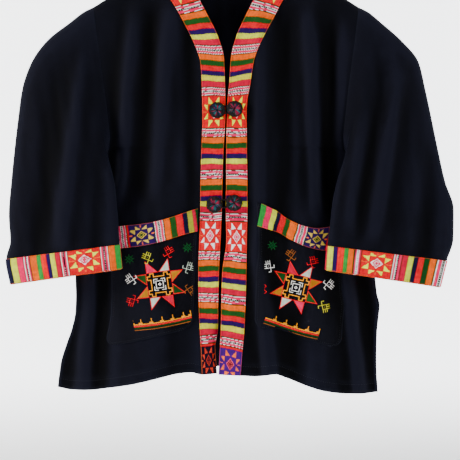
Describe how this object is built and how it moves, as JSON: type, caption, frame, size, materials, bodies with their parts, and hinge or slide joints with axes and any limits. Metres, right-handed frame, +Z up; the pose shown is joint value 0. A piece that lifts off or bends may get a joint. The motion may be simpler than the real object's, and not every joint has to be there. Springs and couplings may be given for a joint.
{
  "type": "embroidered jacket",
  "caption": "Open-front dark cotton jacket on a wooden hanger, with embroidered ribbon edges and cuffs, star-embroidered patch pockets and looped rosette fastenings.",
  "frame": {"origin": "the inside of the hook's crown, where the hanger rests on its rail", "axes": "+Z up, +X to the right of someone who faces the jacket's front, +Y from the front to the back"},
  "size_m": [0.8021, 0.1046, 0.8706],
  "materials": {
    "navy_cotton": "dark indigo cotton with a slight sheen",
    "ribbon_weave": "embroidered ribbon in red, orange, green, purple, yellow and pink",
    "pocket_cloth": "black cotton covered in cross stitch",
    "rosette_thread": "wrapped thread in navy and teal",
    "loop_cord": "black cotton cord",
    "hanger_wood": "satin varnish",
    "hook_steel": "plain wire"
  },
  "bodies": {
    "root": {"back": "navy_cotton", "cuff_ribbon_left": "ribbon_weave", "cuff_ribbon_right": "ribbon_weave", "front_left": "navy_cotton", "front_ribbon_left": "ribbon_weave", "front_ribbon_right": "ribbon_weave", "front_right": "navy_cotton", "hanger_bar": "hanger_wood", "hanger_hook": "hook_steel", "loop_lower": "loop_cord", "loop_upper": "loop_cord", "neck_ribbon": "ribbon_weave", "pocket_left": "pocket_cloth", "pocket_ribbon_left": "ribbon_weave", "pocket_ribbon_right": "ribbon_weave", "pocket_right": "pocket_cloth", "rosette_lower_left": "rosette_thread", "rosette_lower_right": "rosette_thread", "rosette_upper_left": "rosette_thread", "rosette_upper_right": "rosette_thread", "sleeve_left": "navy_cotton", "sleeve_right": "navy_cotton"}
  },
  "joints": []
}
